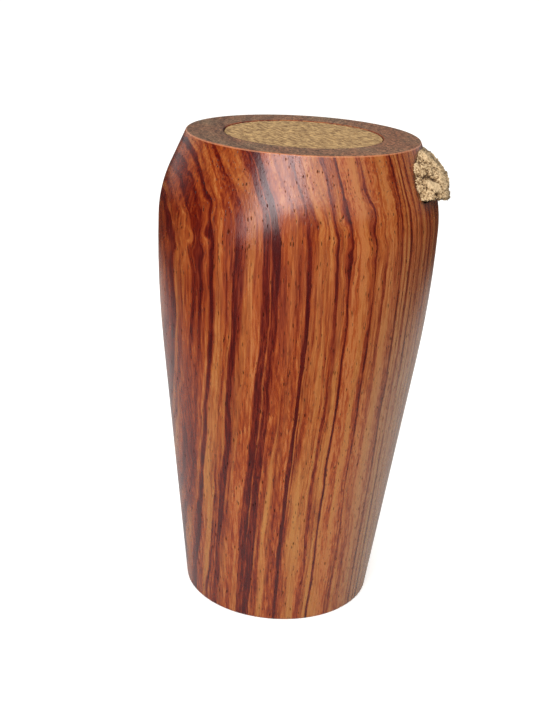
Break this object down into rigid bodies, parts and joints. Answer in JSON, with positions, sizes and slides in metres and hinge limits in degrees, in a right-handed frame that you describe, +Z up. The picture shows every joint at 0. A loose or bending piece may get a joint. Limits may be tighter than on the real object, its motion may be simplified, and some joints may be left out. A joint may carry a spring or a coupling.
{
  "type": "dip pen holder",
  "caption": "Turned hardwood dip pen holder with a blind bore for pens, a flush lift-out cork stopper and a patch of natural bark left under the rim.",
  "frame": {"origin": "centre of the foot, on the surface that the holder stands on", "axes": "+Z up along the turning axis, -Y the front, the bark patch on the +X side"},
  "size_m": [0.0579, 0.057, 0.1],
  "materials": {
    "striped_hardwood": "satin wax on the flanks, sawn and sanded end grain on the rim",
    "cork": "matte sanded cork",
    "bark": "rough dry inner bark",
    "felt": "dark pressed wool felt"
  },
  "bodies": {
    "holder": {"turned_body": "striped_hardwood", "bark_patch": "bark", "nib_pad": "cork", "foot_pad": "felt"},
    "stopper": {"cork_stopper": "cork"}
  },
  "joints": [
    {"name": "stopper_lift", "type": "slide", "parent": "holder", "child": "stopper", "axis": [0, 0, 1], "range_m": [0, 0.04]}
  ]
}
